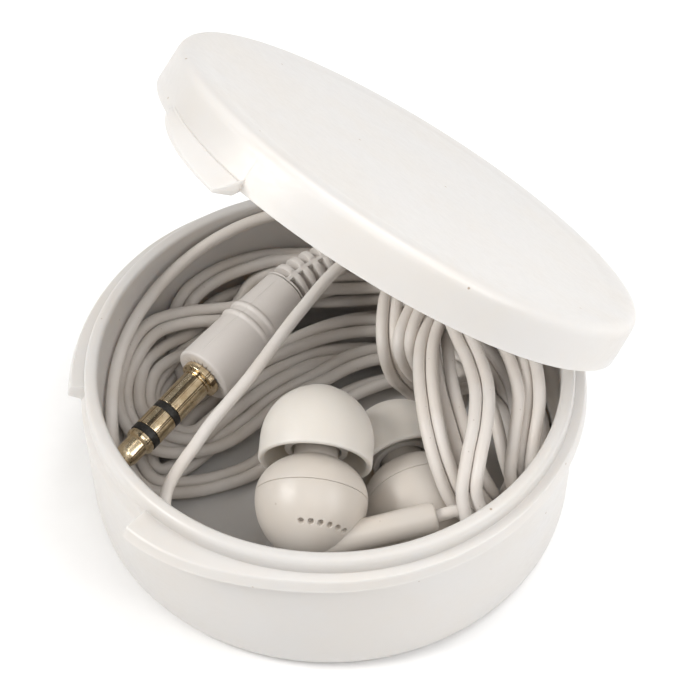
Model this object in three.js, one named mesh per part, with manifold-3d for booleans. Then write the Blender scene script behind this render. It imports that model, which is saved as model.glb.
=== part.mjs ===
// Wired in-ear earphones with a 3.5 mm plug, stowed in their round hinged case.
// Millimetres, +Z up. The origin is the centre of the case's flat bottom.
import * as THREE from 'three';
import { mergeVertices } from 'three/addons/utils/BufferGeometryUtils.js';
import Module from 'manifold-3d';

const wasm = await Module();
wasm.setup();

// ---------------------------------------------------------------- driving dimensions

const FLOOR = 1.0;              // case floor thickness
const WALL_INNER = 25.2;        // inside radius of the case wall
const COLLAR_OUTER = 26.75;     // outside radius of the collar that the lid closes over
const COLLAR_TOP = 19.7;        // height of the case rim
const SHOULDER = 17.8;          // height of the ledge that the lid's edge comes down to
const SHOULDER_RADIUS = 28.2;   // outside radius of the shoulder ring
const BODY_RADIUS = 27.3;       // outside radius of the body just under the shoulder ring
const BASE_RADIUS = 26.8;       // outside radius near the bottom

const LID_BOTTOM = 18.05;       // height of the lid's edge when it is shut
const LID_HEIGHT = 5.1;
const LID_RADIUS = 27.9;
const LID_TOP_RADIUS = 27.7;
const LID_WALL = 0.85;
const LID_PLATE = 0.8;

const HINGE_AZIMUTH = 39;       // degrees from +X towards +Y
const HINGE_RADIUS = 29.4;      // distance of the hinge line from the case's axis
const HINGE_HEIGHT = 16.9;
const LID_OPEN = 42;            // opening of the lid as modelled, in degrees from shut
const TAB_AZIMUTH = 207.5;      // middle of the lid's thumb tab
const TAB_HALF = 15;            // half of the arc that the thumb tab covers, in degrees
const TAB_DEPTH = 1.7;          // half of it reaches below the lid's edge

const CORD = 1.4;               // diameter of one channel's cord
const GAP = 0.3;                // clearance between pieces that touch on the real thing

const CASE_FACETS = 56;         // flats round the case and the lid
const BUD_FACETS = 20;          // flats round the earbud shells and tips
const SMALL_FACETS = 14;        // flats round the small inner pieces

const BUD_RADIUS = 6.1;         // earbud housing, at its widest
const BUD_REAR = 6.8;           // depth of the rear housing behind the widest plane
const BUD_FRONT = 4.7;          // depth of the front shell ahead of that plane
const SHELL = 0.8;              // wall of the housing shells
const NOZZLE_RADIUS = 2.4;
const NOZZLE_BORE = 1.7;
const NOZZLE_TIP = 9.0;         // nozzle end ahead of the widest plane
const TIP_RADIUS = 6.2;         // silicone ear tip
const TIP_SKIRT = 4.0;          // skirt edge ahead of the widest plane
const TIP_TOP = 12.8;
const STEM_RADIUS = 1.65;
const STEM_START = 1.6;         // stem root, measured along the stem from the bud's axis
const STEM_LENGTH = 14.2;
const STEM_ANGLE = 72;          // between the stem and the nozzle axis, in degrees
const STEM_ORIGIN = -5.6;       // where the stem's line meets the bud's axis

// Each bud: centre of its widest plane, nozzle direction, and the side its stem leans to.
const BUDS = [
  { side: 'right', at: [-2.1, -13.5, 13.2], nozzle: [0.1, 0.954, 0.283], stem: [0.99, -0.12, 0.03] },
  { side: 'left', at: [9.5, -9.4, 7.4], nozzle: [-0.26, 0.965, 0], stem: [-0.92, -0.24, -0.3] },
];

// Plug: centre of the moulded grip's front face, and the direction from the tip to the cord.
const PLUG_FACE = new THREE.Vector3(-14.1, 3.7, 13.4);
const PLUG_AXIS = new THREE.Vector3(0.627, 0.773, 0.1).normalize();
const JACK_LENGTH = 14.6;
const JACK_RADIUS = 1.75;
const GRIP_LENGTH = 14.4;
const GRIP_FRONT_RADIUS = 3.5;
const GRIP_REAR_RADIUS = 2.7;
const RELIEF_END = new THREE.Vector3(2.9, 20.7, 15.6);

// ---------------------------------------------------------------- helpers

const rad = THREE.MathUtils.degToRad;
const vec = (p) => new THREE.Vector3(...p);
const polar = (radius, azimuth, z) =>
  new THREE.Vector3(radius * Math.cos(rad(azimuth)), radius * Math.sin(rad(azimuth)), z);

function material(color, roughness, metalness = 0) {
  return new THREE.MeshStandardMaterial({ color, roughness, metalness });
}

const group = new THREE.Group();

function add(name, geometry, look) {
  const mesh = new THREE.Mesh(geometry, look);
  mesh.name = name;
  group.add(mesh);
  return mesh;
}

// Keeps positions only and joins the vertices that coincide.
function weld(geometry) {
  const bare = geometry.clone();
  bare.deleteAttribute('normal');
  bare.deleteAttribute('uv');
  return mergeVertices(bare, 1e-5);
}

function toSolid(geometry) {
  const merged = weld(geometry);
  return new wasm.Manifold(new wasm.Mesh({
    numProp: 3,
    vertProperties: new Float32Array(merged.attributes.position.array),
    triVerts: new Uint32Array(merged.index.array),
  }));
}

function fromSolid(solid) {
  const mesh = solid.getMesh();
  const geometry = new THREE.BufferGeometry();
  geometry.setAttribute('position', new THREE.BufferAttribute(mesh.vertProperties, 3));
  geometry.setIndex(new THREE.BufferAttribute(mesh.triVerts, 1));
  return geometry;
}

// A profile of [radius, height] pairs turned about +Z.
function turned(profile, segments = 48) {
  const points = profile.map(([r, z]) => new THREE.Vector2(r, z));
  return new THREE.LatheGeometry(points, segments).rotateX(Math.PI / 2);
}

// Points on a quarter or part of an ellipse, from angle a to angle b in degrees.
function arc(cr, cz, rr, rz, a, b, steps) {
  return Array.from({ length: steps + 1 }, (_, i) => {
    const t = rad(a + ((b - a) * i) / steps);
    return [cr + rr * Math.cos(t), cz + rz * Math.sin(t)];
  });
}

// A ring sector in plan, between two radii that may vary with azimuth, raised from z0 to z1.
function sector(inner, outer, from, to, z0, z1, steps = 24) {
  const shape = new THREE.Shape();
  const azimuths = Array.from({ length: steps + 1 }, (_, i) => from + ((to - from) * i) / steps);
  const rim = azimuths.map((a) => polar(outer(a), a, 0));
  const root = azimuths.reverse().map((a) => polar(inner, a, 0));
  shape.setFromPoints([...rim, ...root].map((p) => new THREE.Vector2(p.x, p.y)));
  return new THREE.ExtrudeGeometry(shape, { depth: z1 - z0, bevelEnabled: false, steps: 1 })
    .translate(0, 0, z0);
}

// Turns and moves geometry made along +Z so that +Z lies along axis and the origin at point.
function along(geometry, point, axis, side = new THREE.Vector3(1, 0, 0)) {
  const z = axis.clone().normalize();
  const x = side.clone().addScaledVector(z, -side.dot(z)).normalize();
  const y = new THREE.Vector3().crossVectors(z, x);
  const frame = new THREE.Matrix4().makeBasis(x, y, z).setPosition(point);
  return geometry.clone().applyMatrix4(frame);
}

// A round tube of the cord's diameter along hand-placed points.
function tube(points, radius = CORD / 2, sides = 8, steps = 60) {
  const section = new THREE.Shape();
  section.absarc(0, 0, radius, 0, Math.PI * 2, false);
  const path = new THREE.CatmullRomCurve3(points.map(vec), false, 'centripetal');
  const outline = new THREE.Shape(section.getSpacedPoints(sides).slice(0, sides));
  return new THREE.ExtrudeGeometry(outline, { steps, extrudePath: path, bevelEnabled: false });
}

// A closed bundle of oval sections: each station is [x, y, z, half width, half height].
function bundle(stations, sides = 12, steps = 10) {
  const path = new THREE.CatmullRomCurve3(stations.map((s) => vec(s.slice(0, 3))), false, 'centripetal');
  const size = new THREE.CatmullRomCurve3(stations.map((s) => new THREE.Vector3(s[3], s[4], 0)));
  const up = new THREE.Vector3(0, 0, 1);
  const positions = [];
  for (let i = 0; i <= steps; i += 1) {
    const centre = path.getPoint(i / steps);
    const ahead = path.getTangent(i / steps);
    const across = new THREE.Vector3().crossVectors(up, ahead).normalize();
    const above = new THREE.Vector3().crossVectors(ahead, across);
    const half = size.getPoint(i / steps);
    for (let j = 0; j < sides; j += 1) {
      const t = (2 * Math.PI * j) / sides;
      const p = centre.clone()
        .addScaledVector(across, half.x * Math.cos(t))
        .addScaledVector(above, half.y * Math.sin(t));
      positions.push(p.x, p.y, p.z);
    }
  }
  const index = [];
  for (let i = 0; i < steps; i += 1) {
    for (let j = 0; j < sides; j += 1) {
      const a = i * sides + j;
      const b = i * sides + ((j + 1) % sides);
      index.push(a, b, b + sides, a, b + sides, a + sides);
    }
  }
  for (let j = 1; j < sides - 1; j += 1) {
    const end = steps * sides;
    index.push(0, j + 1, j, end, end + j, end + j + 1);
  }
  const geometry = new THREE.BufferGeometry();
  geometry.setAttribute('position', new THREE.Float32BufferAttribute(positions, 3));
  geometry.setIndex(index);
  return geometry;
}

// ---------------------------------------------------------------- looks

const casePlastic = material(0xf3f2ef, 0.38);
const strapPlastic = material(0xf3f2ef, 0.42);
const cordPlastic = material(0xd6cec6, 0.5);
const gripPlastic = material(0xdad5d0, 0.5);
const housingPlastic = material(0xf1ede6, 0.28);
const silicone = material(0xf4efe6, 0.45);
const gold = material(0xb08d57, 0.28, 1);
const insulator = material(0x15130f, 0.4);
const steel = material(0x9a9a98, 0.35, 1);
const film = material(0x6f7276, 0.3);
const felt = material(0x2f2d2b, 0.9);

// ---------------------------------------------------------------- case

function caseBase() {
  const shell = turned([
    [0, 0],
    [BASE_RADIUS - 2.6, 0],
    ...arc(BASE_RADIUS - 2.6, 2.6, 2.6, 2.6, -60, 0, 2),
    [BODY_RADIUS, SHOULDER - 2.1],
    [COLLAR_OUTER, SHOULDER - 2.1],
    [COLLAR_OUTER, COLLAR_TOP - 0.7],
    ...arc(COLLAR_OUTER - 0.7, COLLAR_TOP - 0.7, 0.7, 0.7, 30, 90, 2),
    [WALL_INNER + 0.3, COLLAR_TOP],
    [WALL_INNER, COLLAR_TOP - 0.3],
    [WALL_INNER, FLOOR + 1.5],
    ...arc(WALL_INNER - 1.5, FLOOR + 1.5, 1.5, 1.5, -30, -90, 2),
    [0, FLOOR],
  ], CASE_FACETS);
  let solid = toSolid(shell);

  // The shoulder ring stops short of the thumb tab, and swells into a guard beside each end.
  const gapStart = TAB_AZIMUTH - 24.5;
  const gapEnd = TAB_AZIMUTH + 16;
  const swell = (a) => {
    const before = THREE.MathUtils.smoothstep(a, gapStart + 360 - 75, gapStart + 360 - 45);
    const after = 1 - THREE.MathUtils.smoothstep(a, gapEnd, gapEnd + 42);
    return SHOULDER_RADIUS + 0.5 * before + 2.1 * after;
  };
  const ring = sector(COLLAR_OUTER - 0.6, swell, gapEnd, gapStart + 360, SHOULDER - 1.8, SHOULDER, 48);
  solid = solid.add(toSolid(ring));

  // Landing for the hinge strap.
  const leaf = sector(COLLAR_OUTER, () => HINGE_RADIUS - 0.7,
    HINGE_AZIMUTH - 11, HINGE_AZIMUTH + 11, SHOULDER - 1.8, SHOULDER, 8);
  return fromSolid(solid.add(toSolid(leaf)));
}

add('case_base', caseBase(), casePlastic);

const hinge = polar(HINGE_RADIUS, HINGE_AZIMUTH, HINGE_HEIGHT);
const hingeAxis = polar(1, HINGE_AZIMUTH + 90, 0);

// Swings geometry that is drawn in the shut position to the opening given in degrees.
function swing(geometry, degrees) {
  return geometry.clone()
    .translate(-hinge.x, -hinge.y, -hinge.z)
    .applyMatrix4(new THREE.Matrix4().makeRotationAxis(hingeAxis, rad(degrees)))
    .translate(hinge.x, hinge.y, hinge.z);
}

function caseLid() {
  const top = LID_BOTTOM + LID_HEIGHT;
  const edge = 1.3;
  const shell = turned([
    [0, top],
    [LID_TOP_RADIUS - edge, top],
    ...arc(LID_TOP_RADIUS - edge, top - edge, edge, edge, 60, 0, 2),
    [LID_RADIUS, LID_BOTTOM],
    [LID_RADIUS - LID_WALL, LID_BOTTOM],
    [LID_TOP_RADIUS - LID_WALL, top - LID_PLATE - 0.5],
    [LID_TOP_RADIUS - LID_WALL - 0.5, top - LID_PLATE],
    [0, top - LID_PLATE],
  ].reverse(), CASE_FACETS);
  const bow = (a) => {
    const t = (a - TAB_AZIMUTH) / TAB_HALF;
    return LID_RADIUS + 2.55 + 1.7 * t - 0.6 * t * t;
  };
  const tab = sector(LID_RADIUS - 0.4, bow, TAB_AZIMUTH - TAB_HALF, TAB_AZIMUTH + TAB_HALF,
    LID_BOTTOM - TAB_DEPTH / 2, LID_BOTTOM + TAB_DEPTH / 2, 24);
  const leaf = sector(LID_RADIUS - 0.4, () => HINGE_RADIUS - 0.7,
    HINGE_AZIMUTH - 11, HINGE_AZIMUTH + 11, LID_BOTTOM, LID_BOTTOM + 1.3, 8);
  const solid = toSolid(shell).add(toSolid(tab)).add(toSolid(leaf));
  return swing(fromSolid(solid), LID_OPEN);
}

add('case_lid', caseLid(), casePlastic);

// Thin strap between the two hinge leaves, drawn as it lies at the modelled opening.
function hingeStrap() {
  const along1 = polar(1, HINGE_AZIMUTH, 0);
  const half = 4.5;
  const thick = 0.45;
  const foot = new THREE.Vector2(HINGE_RADIUS - 0.35, SHOULDER - 1.6);
  const head = new THREE.Vector2(HINGE_RADIUS - 0.35, LID_BOTTOM + 1.1);
  const centre = new THREE.Vector2(HINGE_RADIUS, HINGE_HEIGHT);
  head.rotateAround(centre, rad(-LID_OPEN));
  const middle = new THREE.Vector2(HINGE_RADIUS + 0.7, HINGE_HEIGHT + 0.35);
  const shape = new THREE.Shape();
  const curve = new THREE.QuadraticBezierCurve(foot, middle.clone().add(new THREE.Vector2(0.4, 0)), head);
  const spine = curve.getPoints(6);
  const left = [];
  const right = [];
  spine.forEach((p, i) => {
    const t = curve.getTangent(i / 6);
    left.push(new THREE.Vector2(p.x + t.y * thick, p.y - t.x * thick));
    right.unshift(p);
  });
  shape.setFromPoints([...left, ...right]);
  const geometry = new THREE.ExtrudeGeometry(shape, { depth: 2 * half, bevelEnabled: false, steps: 1 })
    .translate(0, 0, -half);
  const frame = new THREE.Matrix4().makeBasis(along1, new THREE.Vector3(0, 0, 1),
    new THREE.Vector3().crossVectors(along1, new THREE.Vector3(0, 0, 1)));
  return geometry.applyMatrix4(frame);
}

add('hinge_strap', hingeStrap(), strapPlastic);

// ---------------------------------------------------------------- plug

// Geometry along the plug's own axis, which is measured back from the grip's front face.
const onPlug = (profile, segments = BUD_FACETS) => along(turned(profile, segments), PLUG_FACE, PLUG_AXIS);

const FLANGE = 0.7;             // collar between the jack and the grip
const RING_GAP = 0.12;          // clearance between neighbouring contacts and insulators
const TIP_JOINT = -10.35;       // front face of the first insulator
const RING_JOINT = -6.8;        // front face of the second insulator
const INSULATOR = 0.85;
const NECK_RADIUS = 1.35;       // barrel of the tip contact, ahead of its lip
const LIP_LENGTH = 0.9;
const POST_RADIUS = 1.0;        // inner post that carries ring and insulators

add('plug_tip_contact', onPlug([
  [0, -JACK_LENGTH],
  [0.6, -JACK_LENGTH + 0.1],
  [NECK_RADIUS, -JACK_LENGTH + 1.2],
  [NECK_RADIUS, TIP_JOINT - LIP_LENGTH],
  [JACK_RADIUS, TIP_JOINT - LIP_LENGTH + 0.15],
  [JACK_RADIUS, TIP_JOINT - RING_GAP],
  [0, TIP_JOINT - RING_GAP],
]), gold);

const washer = (z0, z1) => onPlug([
  [POST_RADIUS + 0.15, z0],
  [JACK_RADIUS, z0],
  [JACK_RADIUS, z1],
  [POST_RADIUS + 0.15, z1],
  [POST_RADIUS + 0.15, z0],
]);

add('plug_tip_insulator', washer(TIP_JOINT, TIP_JOINT + INSULATOR), insulator);
add('plug_ring_contact', washer(TIP_JOINT + INSULATOR + RING_GAP, RING_JOINT - RING_GAP), gold);
add('plug_ring_insulator', washer(RING_JOINT, RING_JOINT + INSULATOR), insulator);

add('plug_centre_post', onPlug([
  [0, TIP_JOINT],
  [POST_RADIUS, TIP_JOINT],
  [POST_RADIUS, 5.5],
  [0, 5.5],
], 16), steel);

const BORE = 2.0;               // bore in the grip that takes the jack's shank
const BORE_DEPTH = 7;
const MOUTH = 2.45;             // wider mouth of that bore, clear of the jack's collar
const MOUTH_DEPTH = 0.4;
add('plug_sleeve_contact', onPlug([
  [POST_RADIUS + 0.15, RING_JOINT + INSULATOR + RING_GAP],
  [JACK_RADIUS, RING_JOINT + INSULATOR + RING_GAP],
  [JACK_RADIUS, -FLANGE - 0.2],
  [2.3, -FLANGE],
  [2.3, -0.15],
  [BORE - 0.15, -0.15],
  [BORE - 0.15, 5],
  [POST_RADIUS + 0.15, 5],
  [POST_RADIUS + 0.15, RING_JOINT + INSULATOR + RING_GAP],
]), gold);

const gripRadius = (z) => GRIP_FRONT_RADIUS
  + (GRIP_REAR_RADIUS - GRIP_FRONT_RADIUS) * (z / GRIP_LENGTH) ** 1.3;
const RIB = 8.2;                // middle of the two raised ribs round the grip
const gripOutline = [
  [GRIP_FRONT_RADIUS - 0.5, 0],
  [GRIP_FRONT_RADIUS, 0.5],
  ...[2, 4, RIB - 1.2].map((z) => [gripRadius(z), z]),
  ...[-0.9, -0.3, 0.3, 0.9].map((d) => [gripRadius(RIB) + (Math.abs(d) > 0.5 ? 0.2 : 0), RIB + d]),
  ...[RIB + 1.2, 11, 13, GRIP_LENGTH].map((z) => [gripRadius(z), z]),
];
add('plug_grip', onPlug([
  [MOUTH, 0],
  ...gripOutline,
  [0, GRIP_LENGTH],
  [0, BORE_DEPTH],
  [BORE, BORE_DEPTH],
  [BORE, MOUTH_DEPTH],
  [MOUTH, MOUTH_DEPTH],
  [MOUTH, 0],
]), gripPlastic);

// Strain relief: a tapering row of rings joined by two side strips, bending towards the cord.
function strainRelief() {
  const start = PLUG_FACE.clone().addScaledVector(PLUG_AXIS, GRIP_LENGTH + GAP / 2);
  const knee = start.clone().addScaledVector(PLUG_AXIS, 3.6);
  const path = new THREE.QuadraticBezierCurve3(start, knee, RELIEF_END);
  const slices = 20;
  const positions = [];
  const index = [];
  const sides = 14;
  const up = new THREE.Vector3(0, 0, 1);
  for (let i = 0; i <= slices; i += 1) {
    const t = i / slices;
    const centre = path.getPointAt(t);
    const ahead = path.getTangentAt(t);
    const across = new THREE.Vector3().crossVectors(up, ahead).normalize();
    const above = new THREE.Vector3().crossVectors(ahead, across);
    const groove = i % 4 >= 2 ? 0.62 : 0;
    const radius = THREE.MathUtils.lerp(GRIP_REAR_RADIUS - 0.2, 1.75, t) - (i < slices ? groove : 0);
    for (let j = 0; j < sides; j += 1) {
      const a = (2 * Math.PI * j) / sides;
      const p = centre.clone()
        .addScaledVector(across, radius * Math.cos(a))
        .addScaledVector(above, radius * Math.sin(a));
      positions.push(p.x, p.y, p.z);
      if (i < slices) {
        const b = i * sides + j;
        const c = i * sides + ((j + 1) % sides);
        index.push(b, c, c + sides, b, c + sides, b + sides);
      }
    }
  }
  for (let j = 1; j < sides - 1; j += 1) {
    const end = slices * sides;
    index.push(0, j + 1, j, end, end + j, end + j + 1);
  }
  const geometry = new THREE.BufferGeometry();
  geometry.setAttribute('position', new THREE.Float32BufferAttribute(positions, 3));
  geometry.setIndex(index);
  return geometry;
}

add('plug_strain_relief', strainRelief(), gripPlastic);

// ---------------------------------------------------------------- earbuds

const ellipse = (rr, rz, a, b, steps) => arc(0, 0, rr, rz, a, b, steps);

const VENT_TILT = 43;           // how far the vents lie behind the housing's widest plane, in degrees
const VENT_START = -95;
const VENT_STEP = 13;
function rearHousing() {
  const shell = turned([
    ...ellipse(BUD_RADIUS, BUD_REAR, -90, -3, 7).map(([r, z], i) => [i === 0 ? 0 : r, z]),
    [BUD_RADIUS, -0.15],
    [BUD_RADIUS - SHELL, -0.15],
    ...ellipse(BUD_RADIUS - SHELL, BUD_REAR - SHELL, -4, -90, 5)
      .map(([r, z], i) => [i === 5 ? 0 : r, z]),
  ], BUD_FACETS);
  let solid = toSolid(shell);
  // Six vent holes in a row across the back.
  for (let i = 0; i < 6; i += 1) {
    const turn = VENT_START + VENT_STEP * i;
    const drill = new THREE.CylinderGeometry(0.35, 0.35, 3, 6)
      .rotateZ(-Math.PI / 2)
      .translate(BUD_RADIUS - 0.8, 0, 0)
      .rotateY(rad(VENT_TILT))
      .rotateZ(rad(turn));
    solid = solid.subtract(toSolid(drill));
  }
  // Socket for the stem.
  const socket = new THREE.CylinderGeometry(STEM_RADIUS + 0.15, STEM_RADIUS + 0.15, 9, SMALL_FACETS)
    .translate(0, STEM_START + 4.5, 0)
    .rotateX(Math.PI / 2)
    .rotateY(rad(STEM_ANGLE))
    .translate(0, 0, STEM_ORIGIN);
  return fromSolid(solid.subtract(toSolid(socket)));
}

const frontShell = () => turned([
  [BUD_RADIUS, 0.15],
  ...ellipse(BUD_RADIUS, BUD_FRONT, 10, 62, 4),
  [NOZZLE_RADIUS, BUD_FRONT - 0.2],
  [NOZZLE_RADIUS, NOZZLE_TIP - 0.3],
  [NOZZLE_RADIUS - 0.3, NOZZLE_TIP],
  [NOZZLE_BORE, NOZZLE_TIP],
  [NOZZLE_BORE, BUD_FRONT - SHELL - 0.2],
  ...ellipse(BUD_RADIUS - SHELL, BUD_FRONT - SHELL, 60, 10, 3),
  [BUD_RADIUS - SHELL, 0.15],
  [BUD_RADIUS, 0.15],
], BUD_FACETS);

const TIP_BORE = NOZZLE_RADIUS + GAP;
const DOME_CENTRE = TIP_SKIRT + 2.5;
const siliconeTip = () => turned([
  [TIP_BORE, TIP_SKIRT + 1.4],
  [TIP_BORE, NOZZLE_TIP + GAP],
  [1.9, NOZZLE_TIP + GAP + 0.4],
  [1.9, TIP_TOP - 0.5],
  [2.3, TIP_TOP - 0.15],
  ...arc(0, DOME_CENTRE, TIP_RADIUS, TIP_TOP - DOME_CENTRE, 62, 0, 5),
  [TIP_RADIUS, TIP_SKIRT + 0.35],
  [TIP_RADIUS - 0.3, TIP_SKIRT],
  [TIP_RADIUS - 0.6, TIP_SKIRT + 0.1],
  [TIP_RADIUS - 0.65, DOME_CENTRE],
  ...arc(0, DOME_CENTRE, TIP_RADIUS - 0.8, TIP_TOP - DOME_CENTRE - 1.3, 15, 48, 2),
  [TIP_BORE + 0.75, NOZZLE_TIP - 0.4],
  [TIP_BORE + 0.75, TIP_SKIRT + 1.4],
  [TIP_BORE, TIP_SKIRT + 1.4],
].reverse(), BUD_FACETS);

const driverFrame = () => turned([
  [2.4, -2.2],
  [4.4, -1.4],
  [4.4, 1.3],
  [3.9, 1.3],
  [3.9, -0.8],
  [2.4, -1.3],
  [2.4, -2.2],
], SMALL_FACETS);

const driverMagnet = () => turned([
  [0, -2.6],
  [2.1, -2.6],
  [2.1, -0.6],
  [0, -0.6],
], SMALL_FACETS);

const driverDiaphragm = () => turned([
  [0, 0.9],
  [1.6, 0.5],
  [3.7, 0.3],
  [3.7, 0.55],
  [1.7, 0.8],
  [0, 1.25],
], SMALL_FACETS);

const nozzleMesh = () => turned([
  [0, NOZZLE_TIP - 0.6],
  [NOZZLE_BORE - 0.12, NOZZLE_TIP - 0.6],
  [NOZZLE_BORE - 0.12, NOZZLE_TIP - 0.3],
  [0, NOZZLE_TIP - 0.3],
], SMALL_FACETS);

const stemProfile = () => turned([
  [0, STEM_START],
  [STEM_RADIUS, STEM_START],
  [STEM_RADIUS, STEM_LENGTH - 1.2],
  ...arc(STEM_RADIUS - 1.0, STEM_LENGTH - 1.0, 1.0, 1.0, 20, 90, 2),
  [0, STEM_LENGTH],
], SMALL_FACETS);

// Direction of a bud's stem: it leans STEM_ANGLE away from the nozzle, towards bud.stem.
function stemDirection(bud) {
  const nozzle = vec(bud.nozzle).normalize();
  const lean = vec(bud.stem);
  lean.addScaledVector(nozzle, -lean.dot(nozzle)).normalize();
  return nozzle.multiplyScalar(Math.cos(rad(STEM_ANGLE)))
    .addScaledVector(lean, Math.sin(rad(STEM_ANGLE)));
}

function stemEnd(bud, extra) {
  return vec(bud.at)
    .addScaledVector(vec(bud.nozzle).normalize(), STEM_ORIGIN)
    .addScaledVector(stemDirection(bud), STEM_LENGTH + extra);
}

for (const bud of BUDS) {
  const put = (geometry) => along(geometry, vec(bud.at), vec(bud.nozzle), vec(bud.stem));
  const foot = vec(bud.at).addScaledVector(vec(bud.nozzle).normalize(), STEM_ORIGIN);
  add(`${bud.side}_rear_housing`, put(rearHousing()), housingPlastic);
  add(`${bud.side}_front_shell`, put(frontShell()), housingPlastic);
  add(`${bud.side}_ear_tip`, put(siliconeTip()), silicone);
  add(`${bud.side}_driver_frame`, put(driverFrame()), steel);
  add(`${bud.side}_driver_magnet`, put(driverMagnet()), steel);
  add(`${bud.side}_driver_diaphragm`, put(driverDiaphragm()), film);
  add(`${bud.side}_nozzle_mesh`, put(nozzleMesh()), felt);
  add(`${bud.side}_stem`, along(stemProfile(), foot, stemDirection(bud)), housingPlastic);
}

// ---------------------------------------------------------------- cords

// The wound lead: one long loop of the case, in four bundles that follow each other.
const WINDING = {
  lead_winding_left: [
    [20.3, 9.6, 4.3, 2.5, 2.6],
    [12.5, 15.2, 4.6, 4.4, 2.9],
    [2.5, 14.6, 4.6, 5.0, 3.0],
    [-6.5, 9.3, 4.2, 5.6, 2.7],
    [-13.5, 3.5, 3.9, 5.6, 2.5],
    [-19.3, -0.8, 4.2, 4.2, 2.5],
  ],
  lead_winding_back: [
    [-21.3, 6.3, 6.5, 2.6, 2.9],
    [-19.2, 11.2, 7.3, 2.9, 3.2],
    [-14, 16.8, 8.2, 3.2, 3.4],
    [-6, 20.6, 8.8, 3.0, 3.4],
    [3, 21.3, 9.4, 2.9, 3.0],
    [8.5, 20.2, 11.0, 2.9, 2.5],
    [11.6, 18.2, 12.9, 3.4, 2.2],
  ],
  lead_winding_right: [
    [13.0, 15.3, 15.2, 4.4, 2.2],
    [13.2, 10.5, 16.6, 7.2, 2.3],
    [14.3, 3.5, 16.8, 8.0, 2.2],
    [15.3, -3, 16.0, 6.9, 2.1],
    [16.6, -8.5, 13.7, 4.5, 2.1],
    [17.6, -12.0, 10.9, 3.0, 2.1],
  ],
  lead_winding_turn: [
    [20.9, -8.6, 6.2, 2.5, 2.8],
    [22.2, -1.5, 5.2, 2.3, 3.0],
    [22.0, 3.0, 4.6, 2.4, 2.8],
    [21.5, 6.0, 4.4, 2.4, 2.6],
  ],
};
for (const [name, stations] of Object.entries(WINDING)) {
  add(name, bundle(stations), cordPlastic);
}

// The lead from the plug to the winding, and each channel's own cord back to its bud.
const LEAD_EXIT = [
  [3.2, 20.9, 15.6],
  [5.5, 22.1, 16.2],
  [8.5, 22.0, 16.9],
  [10.8, 20.2, 17.1],
  [12.6, 16.7, 16.6],
];
add('plug_lead', tube(LEAD_EXIT, CORD * 0.75, 8, 8), cordPlastic);

const RIGHT_LEAD = [
  stemEnd(BUDS[0], GAP).toArray(),
  stemEnd(BUDS[0], 2.6).toArray(),
  [15.6, -16.0, 12.2],
  [16.8, -16.6, 10.0],
  [16.6, -17.5, 7.6],
  [15.2, -18.8, 5],
  [11, -21.4, 3.4],
  [4, -23.9, 2.8],
  [-6, -23.4, 3.6],
  [-13, -20.2, 7],
  [-17.9, -13.6, 12.4],
  [-14.1, -6.7, 15.3],
  [-8.7, -0.4, 18],
  [-3.2, 7.0, 20.3],
  [1.6, 13.4, 20.9],
  [6, 17, 20.2],
  [9.6, 17.6, 18.6],
];
add('right_lead', tube(RIGHT_LEAD, CORD / 2, 8, 44), cordPlastic);

const LEFT_LEAD = [
  stemEnd(BUDS[1], GAP).toArray(),
  stemEnd(BUDS[1], 2.4).toArray(),
  [-7, -15, 2.0],
  [-12, -19.5, 2.4],
  [-18.2, -15.2, 5],
  [-22.6, -8.5, 9],
  [-24.2, 0, 12.4],
  [-22.7, 8.6, 14.8],
  [-17, 17.3, 16.8],
  [-8.8, 22.7, 18.2],
  [0, 24.3, 18.6],
  [7, 23.2, 19.4],
  [11.6, 19.6, 19.6],
];
add('left_lead', tube(LEFT_LEAD, CORD / 2, 8, 34), cordPlastic);

export default group;
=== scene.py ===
import math

import bpy
import numpy as np
from mathutils import Matrix


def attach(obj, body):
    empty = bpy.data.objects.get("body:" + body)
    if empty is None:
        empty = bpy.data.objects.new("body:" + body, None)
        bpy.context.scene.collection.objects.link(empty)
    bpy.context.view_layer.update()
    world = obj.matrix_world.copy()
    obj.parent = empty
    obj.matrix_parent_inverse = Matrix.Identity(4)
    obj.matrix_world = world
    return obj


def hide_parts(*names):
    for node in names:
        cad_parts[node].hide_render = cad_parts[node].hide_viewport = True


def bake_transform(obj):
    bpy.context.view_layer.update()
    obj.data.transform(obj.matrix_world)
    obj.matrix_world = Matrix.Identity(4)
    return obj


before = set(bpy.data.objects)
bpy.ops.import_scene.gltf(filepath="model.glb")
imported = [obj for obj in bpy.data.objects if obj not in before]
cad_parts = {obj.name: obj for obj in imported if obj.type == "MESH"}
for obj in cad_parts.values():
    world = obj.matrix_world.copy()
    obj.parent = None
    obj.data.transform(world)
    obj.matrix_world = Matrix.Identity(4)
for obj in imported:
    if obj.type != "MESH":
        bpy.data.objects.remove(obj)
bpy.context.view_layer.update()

MM = 0.001

# -------- sizes, in millimetres

FLOOR = 1.0                 # case floor thickness
WALL_INNER = 25.2           # inside radius of the case wall
COLLAR_OUTER = 26.75        # collar that the lid closes over
COLLAR_TOP = 19.7
SHOULDER = 17.8             # ledge under the lid's edge
SHOULDER_RADIUS = 28.2
BODY_RADIUS = 27.3
BASE_RADIUS = 26.8

LID_BOTTOM = 18.05
LID_TOP = 23.15
LID_RADIUS = 27.9
LID_TOP_RADIUS = 27.7
LID_WALL = 0.85
LID_PLATE = 0.8

HINGE_AZIMUTH = 39
HINGE_RADIUS = 29.4
HINGE_HEIGHT = 16.9
LEAF_HALF = 11              # half of the arc that a hinge leaf covers, in degrees
LID_OPEN = 42
TAB_AZIMUTH = 207.5
TAB_HALF = 15

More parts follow.
